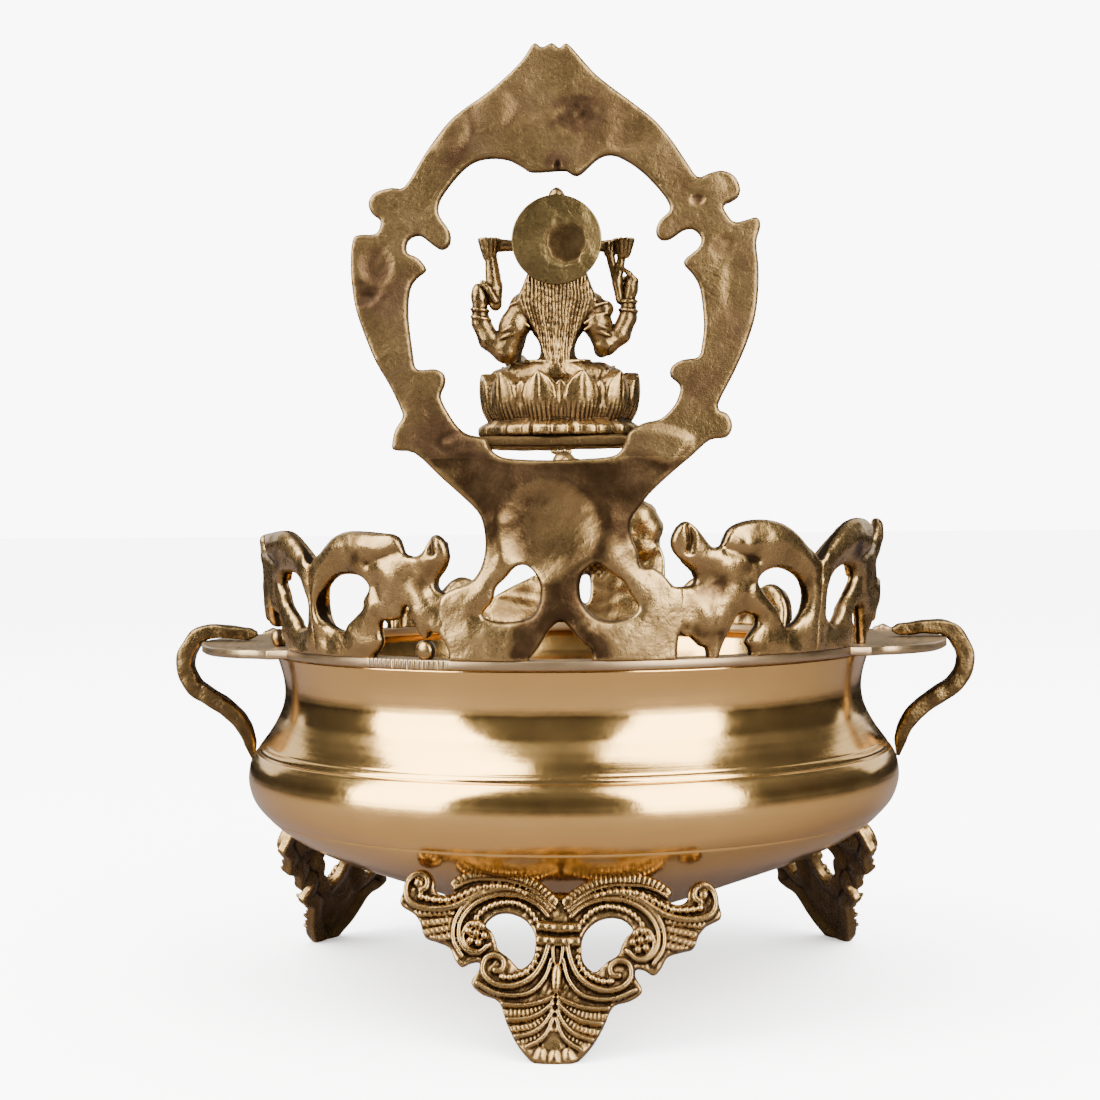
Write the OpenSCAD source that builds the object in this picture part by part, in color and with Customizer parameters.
// Brass urli bowl with a pierced scroll gallery, strap handles, three cast feet and a seated
// deity under an arch at the back of the rim.
// +Z is up, the feet stand on z = 0, the origin is on the bowl's axis, and the deity faces +Y.

/* [Overall] */
// Height from the feet to the arch's crown; every outline below scales with it
overall_h = 305; // [250:5:400]
// Smoothness of turned surfaces
turned_fn = 120; // [60:20:200]

/* [Bowl] */
// Wall thickness of the turned bowl
bowl_wall = 2.4; // [2:0.2:4]
// Thickness of the flat rim plate and its ears
rim_t = 3; // [2.5:0.25:4]
// Inner radius of the rim plate
rim_inner_r = 96; // [90:1:99]

/* [Gallery] */
// Thickness of the scroll castings
scroll_t = 5.5; // [4:0.5:7]
// How far the gallery leans out between its foot and its top
scroll_flare = 5; // [0:0.5:7]

/* [Handles] */
// Width of the strap, front to back
strap_w = 7.5; // [6:0.5:12]
// Thickness of the strap
strap_t = 5.4; // [4:0.2:7]

/* [Feet] */
// Thickness of the foot castings
foot_t = 5.5; // [4:0.5:7]
// Outer radius that the toes stand on
toe_r = 118; // [114:1:122]
// How far the feet lean in from their toes to the bowl, in degrees
foot_lean = 24.8; // [23:0.1:26]

/* [Arch and deity] */
// Thickness of the arch and its bracket
arch_t = 5.5; // [4:0.5:8]
// Distance of the arch's back face behind the axis
arch_back = 106.5; // [106:0.5:108]
// Thickness of the ledge under the lotus
ledge_t = 3.6; // [3:0.2:5]
// Radius of the halo disc
halo_r = 13.6; // [12:0.2:16]

/* [Hidden] */

k = overall_h / 305;             // every outline is drawn for an overall height of 305
polished = "goldenrod";
cast_brass = "peru";

rim_r = 105.5;                   // outer radius of the rim plate and the gallery's foot
rim_z = 115.5;                   // underside of the rim plate
rim_top = rim_z + rim_t;
gallery_h = 46;                  // height over which the gallery's flare is measured
beyond_rim = rim_r + 20;         // further out than any casting that stands on the rim
scroll_start = 48.5;             // angle from the back at which two scrolls meet back to back
mm_per_deg = rim_r * PI / 180;

// One point of a curve through p1 and p2 at t from 0 to 1
function through(p0, p1, p2, p3, t) =
    0.5 * (2 * p1 + (p2 - p0) * t + (2 * p0 - 5 * p1 + 4 * p2 - p3) * t * t
    + (3 * p1 - p0 - 3 * p2 + p3) * t * t * t);

// A smooth closed outline through hand-placed points
function closed_curve(p, n = 3) = let (m = len(p))
    [for (i = [0:m - 1]) for (j = [0:n - 1])
        through(p[(i + m - 1) % m], p[i], p[(i + 1) % m], p[(i + 2) % m], j / n)];

// A smooth open line through hand-placed points
function open_curve(p, n = 4) = let (m = len(p))
    [for (i = [0:m - 2]) for (j = [0:n - 1])
        through(p[max(i - 1, 0)], p[i], p[i + 1], p[min(i + 2, m - 1)], j / n),
    p[m - 1]];

// The line moved sideways by d, to its left
function beside(p, d) = let (m = len(p))
    [for (i = [0:m - 1])
        let (a = p[max(i - 1, 0)], b = p[min(i + 1, m - 1)], v = (b - a) / norm(b - a))
        p[i] + d * [-v[1], v[0]]];

function backwards(p) = [for (i = [len(p) - 1:-1:0]) p[i]];
function mirrored(p) = [for (q = p) [-q[0], q[1]]];
function after_first(p) = [for (i = [1:len(p) - 1]) p[i]];

// ---- Bowl ----

bowl_outside = open_curve([[0, 23], [20, 23.4], [40, 29], [65, 38.4], [85, 46.2], [96, 51.4],
    [103, 56], [108, 60.5], [111.6, 65], [113.4, 70], [113.6, 74], [112.7, 78.5],
    [110.2, 82.6], [106.2, 88], [103.6, 92.4], [101.8, 96.6], [101, 101], [101.2, 105.5],
    [102.2, 110], [104, rim_z]], 3);

module bowl_outside_solid() {
    rotate_extrude($fn = turned_fn) polygon(concat(bowl_outside, [[0, rim_z]]));
}

module bowl() {
    inside = beside(bowl_outside, bowl_wall);
    last = len(inside) - 1;
    inner_line = [for (i = [0:last])
        i == 0 ? [0, inside[0][1]] : i == last ? [inside[i][0], rim_z] : inside[i]];
    color(polished) rotate_extrude($fn = turned_fn)
        polygon(concat(bowl_outside, backwards(inner_line)));
}

// ---- Rim plate with its two ears ----

ear_half = closed_curve([[90, -54], [96, -47], [104, -46.5], [112, -45], [120, -37], [126, -24],
    [130, -10], [131, 0], [130, 10], [126, 24], [120, 37], [112, 45], [104, 46.5], [96, 47],
    [90, 54], [80, 0]], 3);

module rim_outline() {
    difference() {
        union() {
            circle(r = rim_r, $fn = turned_fn);
            polygon(ear_half);
            polygon(mirrored(ear_half));
        }
        circle(r = rim_inner_r, $fn = turned_fn);
    }
}

module rim_plate() {
    chip = [8, 2.6, 1.7];
    color(polished) {
        translate([0, 0, rim_z]) linear_extrude(rim_t) rim_outline();
        for (side = [-1, 1])
            translate([side * 114, 40, rim_top + chip[2] / 2 - 0.05])
                rotate([0, 0, -side * 32]) cube(chip, center = true);
    }
}

// ---- Handles ----

strap_line = open_curve([[113, 121.2], [121, 121.2], [128, 121.6], [134, 119.6], [138, 114.8],
    [138.8, 108.6], [135.6, 102.4], [129, 98], [121.6, 94], [115.8, 89], [112.8, 83.4],
    [111, 78]], 4);

module handle() {
    color(cast_brass) difference() {
        rotate([90, 0, 0]) linear_extrude(strap_w, center = true)
            polygon(concat(beside(strap_line, strap_t / 2),
                backwards(beside(strap_line, -strap_t / 2))));
        bowl_outside_solid();
        translate([rim_inner_r, -strap_w, rim_z]) cube([132 - rim_inner_r, 2 * strap_w, rim_t]);
    }
}
module handle_right() { handle(); }
module handle_left() { mirror([1, 0, 0]) handle(); }

// ---- Feet ----

foot_half = [[0, -1.5], [7, 0.6], [11.5, 5], [14.5, 11], [16.5, 17], [20, 19], [25, 20.5],
    [25.5, 22.5], [23.5, 25.5], [24.2, 28.5], [28, 27], [31.5, 28.5], [33.5, 32.5], [38, 34],
    [41.8, 37], [42.8, 41], [47, 43], [48.8, 46], [47.6, 50.5], [44, 52], [40, 50.5],
    [37, 47.5], [34.5, 48], [34, 50.5], [30, 52.5], [24, 54], [18, 53.8], [11, 51.5],
    [5.5, 48.2], [0, 45.5]];
foot_eye = closed_curve([[8.5, 31], [9.2, 36], [13, 39.8], [18.5, 40.6], [23.5, 39.5],
    [22.8, 36.5], [20, 34], [19, 31.5], [16, 30], [14, 28], [12, 25.2], [10, 27.2]], 3);
foot_body = concat(open_curve(foot_half, 2), backwards(mirrored(open_curve(foot_half, 2))));

// Heights in the outline are true heights, so the leaning plate is drawn longer
function stretched(p) = [for (q = p) [q[0], q[1] / cos(foot_lean)]];

module foot_face() {
    difference() {
        polygon(stretched(foot_body));
        polygon(stretched(foot_eye));
        polygon(stretched(mirrored(foot_eye)));
    }
}

module foot() {
    rib = [13, 9, 20];           // stands behind the dip between the scrolls, under the bowl
    rib_y = -98;
    rib_z = 36;
    color(cast_brass) difference() {
        union() {
            translate([0, -toe_r, 0]) rotate([90 - foot_lean, 0, 0])
                translate([0, 0, -foot_t]) linear_extrude(foot_t) foot_face();
            translate([-rib[0] / 2, rib_y, rib_z]) cube(rib);
        }
        bowl_outside_solid();
        // The toe is filed flat where it stands
        translate([-toe_r / 4, -2 * toe_r, -20]) cube([toe_r / 2, toe_r * 1.5, 20]);
    }
}
module foot_back() { foot(); }
module foot_front_left() { rotate([0, 0, -120]) foot(); }
module foot_front_right() { rotate([0, 0, 120]) foot(); }

// ---- Gallery ----

// A leaning wall: the shell of a cone between two heights, of thickness t inside its outer radii
module leaning_wall(r_low, z_low, r_high, z_high, t) {
    rotate_extrude($fn = turned_fn)
        polygon([[r_low - t, z_low], [r_low, z_low], [r_high, z_high], [r_high - t, z_high]]);
}

// One scroll casting, unrolled: along the rim from the line where two scrolls meet, and up
scroll_edge = [[0, 112], [0, 130], [0, 147.4], [5, 152], [10, 156.4], [16, 159.4], [24, 160],
    [31, 159], [36, 157], [38.6, 153.6], [42, 151.6], [46, 154], [49.7, 158.5], [54, 157],
    [55.6, 152], [53.6, 147.5], [49.4, 143.5], [49.2, 140.6], [51.4, 138.6], [51.4, 132],
    [51.2, 126], [48.6, 124.8], [45.6, 125], [43.6, 122.6], [43, 118], [43, 112], [39.6, 112],
    [39.4, 118], [39, 124], [39.2, 130], [37.6, 133.6], [34.6, 133.4], [31.6, 130.4],
    [28.6, 129.4], [26.6, 126], [27.4, 121.6], [25.8, 117], [25.8, 112]];
scroll_hole = [[3, 134.5], [4.6, 140], [9, 144], [14, 144.9], [20, 143.4], [24, 140],
    [22.6, 136], [20.4, 132], [17.6, 129], [12.6, 126.8], [7.6, 128.4], [4.2, 131]];
scroll_mid = 15;                 // angle between the meeting line and the middle of a casting

// An unrolled point as the wall's flat view, seen square on at the casting's middle
function seen(p) = [rim_r * sin(p[0] / mm_per_deg - scroll_mid), p[1]];
function all_seen(p) = [for (q = p) seen(q)];

// A scroll whose meeting line is at 0 degrees and which runs away from it to the right
module scroll() {
    color(cast_brass) intersection() {
        leaning_wall(rim_r, rim_top, rim_r + scroll_flare, rim_top + gallery_h, scroll_t);
        rotate([0, 0, scroll_mid]) rotate([90, 0, 0]) linear_extrude(beyond_rim)
            difference() {
                polygon(all_seen(closed_curve(scroll_edge, 2)));
                polygon(all_seen(closed_curve(scroll_hole, 2)));
                translate(seen([0.2, rim_top + 2])) circle(r = 1.2, $fn = 24);
            }
    }
}

// Scrolls are placed by the angle of their meeting line, measured from the back of the bowl
module scroll_at(angle, runs_right) {
    gap = 0.02;                  // degrees between two castings that meet
    rotate([0, 0, angle + (runs_right ? gap : -gap)])
        if (runs_right) scroll(); else mirror([1, 0, 0]) scroll();
}
module scroll_back_right() { scroll_at(scroll_start, false); }
module scroll_side_right_rear() { scroll_at(scroll_start, true); }
module scroll_back_left() { mirror([1, 0, 0]) scroll_back_right(); }
module scroll_side_left_rear() { mirror([1, 0, 0]) scroll_side_right_rear(); }

// A low wave-shaped casting at the front, unrolled: along the rim and up
wave_edge = [[0, 112], [0, 119], [1, 125], [4, 130.6], [8.6, 134], [13.6, 134.2], [18, 131.4],
    [22, 128], [27, 127.6], [32, 131], [37, 135.4], [43, 137.4], [49, 136], [53, 132.6],
    [55.4, 129], [58, 127.6], [58, 112]];
wave_length = 58;
wave_end = 159.5;                // angle from the back at which both castings end

// Runs from an angle to the shared end, beside the peacock's base
module low_wave(start) {
    length = (wave_end - start) * mm_per_deg;
    middle = (wave_end + start) / 2;
    points = [for (q = closed_curve(wave_edge, 2))
        [rim_r * sin((q[0] / wave_length - 0.5) * length / mm_per_deg), q[1]]];
    color(cast_brass) intersection() {
        leaning_wall(rim_r, rim_top, rim_r + scroll_flare, rim_top + gallery_h, scroll_t);
        rotate([0, 0, middle]) rotate([90, 0, 0]) linear_extrude(beyond_rim) polygon(points);
    }
}
module scroll_front_right() { low_wave(128); }
module scroll_front_left() { mirror([1, 0, 0]) low_wave(133.5); }

// ---- Bracket and arch ----

seat_z = 180;                    // top of the bracket, where the arch stands
bracket_low = [[0, 112], [35.6, 112], [35.2, 118], [33.4, 122], [32, 126], [33.4, 130],
    [35, 136], [34.6, 139.4], [31, 142.4], [27, 146], [23, 151], [22.4, 157], [23.6, 163],
    [24, 170], [0, 170]];
bracket_eye = closed_curve([[7, 142], [7.6, 136.5], [11, 131.6], [16.5, 130.4], [21, 131.6],
    [22.6, 134.2], [20.4, 138.4], [18, 143], [14, 147], [10, 147.6]], 2);
fan = open_curve([[21.5, 154], [22.4, 159], [26.5, 166], [33, 172.5], [43, seat_z]], 3);

module both_sides(p) {
    polygon(p);
    polygon(mirrored(p));
}

module arch_bracket() {
    bracket_top = 170;
    color(cast_brass) union() {
        intersection() {
            leaning_wall(rim_r, rim_top, arch_back, bracket_top, arch_t);
            rotate([90, 0, 0]) linear_extrude(beyond_rim) difference() {
                both_sides(bracket_low);
                both_sides(bracket_eye);
                polygon([[-9.5, 112], [-9.2, 119], [0, 130.5], [9.2, 119], [9.5, 112]]);
            }
        }
        translate([0, arch_t - arch_back, 0]) rotate([90, 0, 0])
            linear_extrude(arch_t) polygon(concat(fan, backwards(mirrored(fan))));
    }
}

arch_outer = [[43, seat_z], [46.5, 184.5], [50.5, 185.5], [52, 189], [50.6, 193], [48, 195.6],
    [52.6, 204], [57.6, 214], [60.6, 224], [62, 234], [61.8, 243], [61.4, 249.6], [58, 250.2],
    [54, 249.4], [52.4, 253], [55.6, 257], [55.8, 260.6], [52.5, 263.4], [47.8, 263.2],
    [44.6, 263], [40, 270.6], [34.6, 277.6], [28, 284.4], [20, 290.6], [13.6, 295.4],
    [9.4, 299.6], [6.6, 303.8], [5, 305], [3.2, 303.4], [1.6, 304.2], [0, 305]];
arch_inner = [[0, 268], [3, 266], [6.4, 265.2], [9.6, 267], [13, 270], [18.5, 270.8], [24, 269],
    [29.6, 265], [33.6, 260], [35.4, 255.4], [32.6, 250.6], [33, 246.6], [36.2, 245.6],
    [39, 248.4], [42.4, 248.6], [44.6, 246], [44.4, 241.6], [40.4, 240.6], [38.8, 238.2],
    [41, 235.4], [43.8, 233.4], [44.6, 226], [44.6, 218], [43.4, 209.4], [39.6, 209],
    [35, 206.4], [34.4, 202.6], [36.4, 200], [34.4, 195], [30, 189.6], [27, 185], [24, seat_z]];

module arch_frame() {
    outer = open_curve(arch_outer, 2);
    inner = open_curve(arch_inner, 2);
    ring = concat(outer, after_first(backwards(mirrored(outer))),
        backwards(mirrored(inner)), after_first(inner));
    color(cast_brass) translate([0, arch_t - arch_back, 0]) rotate([90, 0, 0])
        linear_extrude(arch_t) polygon(ring);
}

// ---- Ledge and lotus ----

ledge_z = 183.4;
lotus_y = -82;                   // the deity's axis, in front of the arch
lotus_x = -1.5;
lotus_z = ledge_z + ledge_t;

module figure_ledge() {
    tab = [74, 9];               // the tabs at its ends lie against the arch's front face
    arch_front = arch_t - arch_back;
    color(cast_brass) translate([lotus_x, arch_front, ledge_z]) linear_extrude(ledge_t) union() {
        translate([-tab[0] / 2, 0]) square(tab);
        intersection() {
            translate([0, lotus_y - arch_front]) scale([1, 0.76]) circle(r = 28, $fn = 64);
            translate([-40, 0]) square([80, 80]);
        }
    }
}

module petal(r, h, tip_out, w) {
    hull() {
        translate([r - 2, 0, 0]) sphere(r = w * 0.55, $fn = 10);
        translate([r, 0, h * 0.5]) sphere(r = w * 0.5, $fn = 10);
        translate([r + tip_out, 0, h]) sphere(r = 0.9, $fn = 8);
    }
}

module lotus_pedestal() {
    petals = 12;
    deep = 0.78;                 // the lotus is narrower front to back
    color(cast_brass) translate([lotus_x, lotus_y, lotus_z]) scale([1, deep, 1]) union() {
        cylinder(h = 5, r1 = 24.5, r2 = 22.5, $fn = 48);
        translate([0, 0, 5]) cylinder(h = 9.6, r1 = 19.5, r2 = 18, $fn = 48);
        intersection() {
            for (i = [0:petals - 1]) rotate([0, 0, 360 / petals * (i + 0.5)])
                translate([0, 0, 6]) petal(20.4, 12.8, 3.2, 7);
            translate([0, 0, 3]) cylinder(h = 30, r = 40, $fn = 48);
        }
    }
}

// ---- Deity ----

fig_z = lotus_z + 14.6;          // the seat on the lotus

// A limb of round section through a list of [x, y, z, radius]
module limb(joints) {
    for (i = [0:len(joints) - 2]) hull() for (j = [i, i + 1])
        translate([joints[j][0], joints[j][1], joints[j][2]])
            sphere(r = joints[j][3], $fn = 12);
}

upper_arm = [[11, 0, 25, 4.4], [14.5, -1, 18, 4], [16, -2, 12.6, 3.6]];
raised_arm = [[16, -2, 12.6, 3.6], [21, -2, 16, 3], [23.4, -2, 24, 2.4], [23.6, -1, 30, 3]];
lotus_stem = [[22.4, -1, 31, 2.2], [20.4, -1, 40, 1.9], [20.4, -1, 44, 2.4], [20.4, -1, 47.4, 4]];
lower_arm = [[12, 3, 22, 3.6], [15.5, 9, 12, 3], [15, 17, 13, 2.3], [14, 19, 17, 2.4]];
thigh = [[5, 1, 4, 6.4], [19, 9, 3.4, 4.8]];
shin = [[19, 9, 3.4, 4.6], [2, 14, 2.6, 3.4]];

module deity_figure() {
    color(cast_brass) translate([lotus_x, lotus_y, fig_z]) intersection() {
        union() {
            hull() {
                translate([0, 0, 4]) scale([1.5, 1, 0.8]) sphere(r = 6.6, $fn = 16);
                translate([0, 0.5, 12]) scale([1.15, 0.9, 1]) sphere(r = 5.4, $fn = 16);
            }
            hull() {
                translate([0, 0.5, 12]) scale([1.15, 0.9, 1]) sphere(r = 5.4, $fn = 16);
                translate([0, -0.5, 25]) scale([2, 1, 0.8]) sphere(r = 5.6, $fn = 16);
            }
            translate([0, 0, 28]) cylinder(h = 10, r = 3.6, $fn = 24);
            translate([0, 1, 40]) scale([0.88, 1, 1.15]) sphere(r = 7.4, $fn = 20);
            translate([0, 1, 45]) cylinder(h = 16, r1 = 7, r2 = 1.4, $fn = 24);
            hull() {
                translate([0, -5, 12]) scale([1.5, 0.6, 1]) sphere(r = 3.6, $fn = 12);
                translate([0, -4.6, 30]) scale([2.3, 0.7, 1]) sphere(r = 4.4, $fn = 12);
            }
            for (side = [0, 1]) mirror([side, 0, 0]) {
                limb(upper_arm);
                limb(raised_arm);
                limb(lotus_stem);
                limb(lower_arm);
                limb(thigh);
                limb(shin);
            }
        }
        // It is flat underneath, where it sits on the lotus
        translate([-40, -40, 0]) cube([80, 80, 90]);
    }
}

module halo_disc() {
    halo_t = 2.2;
    boss_t = 1.1;
    color(cast_brass) translate([0, lotus_y - 10.6, fig_z + 45.6]) rotate([90, 0, 0]) {
        difference() {
            cylinder(h = halo_t, r = halo_r, $fn = 64);
            translate([0.6, 0, halo_t - boss_t]) cylinder(h = boss_t + 1, r = 5.6, $fn = 48);
        }
        // The peg that reaches forward to the back of the head
        translate([0, 0, -2]) cylinder(h = 2, r = 2.6, $fn = 32);
    }
}

// ---- Peacock on the front of the rim ----

// The notched rocky base it stands on, by width and height
peacock_base = [[-36, 112], [-36, 127], [-32, 131], [-25, 134.6], [-18, 138], [-12, 143], [-2, 145],
    [-0.6, 139], [-0.4, 129], [1.6, 126], [3.6, 129], [4, 141], [8, 148], [20, 150], [30, 150],
    [33.4, 146], [34, 138], [33, 126], [33, 112]];

module front_peacock() {
    y0 = 104;                    // the bird's middle plane
    front_y = 118;               // its foremost point
    around = 60;
    color(cast_brass) intersection() {
        union() {
            intersection() {
                leaning_wall(rim_r, rim_top, rim_r + scroll_flare, rim_top + gallery_h, scroll_t);
                translate([0, beyond_rim, 0]) rotate([90, 0, 0]) linear_extrude(rim_r)
                    polygon(peacock_base);
            }
            hull() {
                translate([-8, y0 + 3, 147]) sphere(r = 10, $fn = 24);
                translate([8, y0 + 1, 149]) sphere(r = 8, $fn = 20);
            }
            hull() {
                translate([-9, y0 + 1, 153]) sphere(r = 7, $fn = 16);
                translate([-10, y0, 170]) sphere(r = 3.8, $fn = 12);
            }
            hull() {
                translate([-10, y0, 170]) sphere(r = 3.8, $fn = 12);
                translate([-7, y0, 183]) sphere(r = 3.6, $fn = 12);
            }
            hull() {
                translate([-7, y0, 184]) sphere(r = 4.4, $fn = 16);
                translate([3, y0, 184.6]) sphere(r = 1.2, $fn = 10);
            }
            for (fan_x = [18, 27]) hull() {
                translate([10, y0, 148]) sphere(r = 5, $fn = 14);
                translate([fan_x, y0, fan_x * 0.9 + 137]) sphere(r = 6.6, $fn = 16);
            }
        }
        // Nothing of it lies below the rim or further forward than its front
        translate([-around, front_y - 78, rim_top]) cube([2 * around, 78, 90]);
    }
}

scale(k) {
    bowl();
    rim_plate();
    handle_left();
    handle_right();
    foot_back();
    foot_front_left();
    foot_front_right();
    scroll_back_left();
    scroll_back_right();
    scroll_side_left_rear();
    scroll_side_right_rear();
    scroll_front_left();
    scroll_front_right();
    arch_bracket();
    arch_frame();
    figure_ledge();
    lotus_pedestal();
    deity_figure();
    halo_disc();
    front_peacock();
}
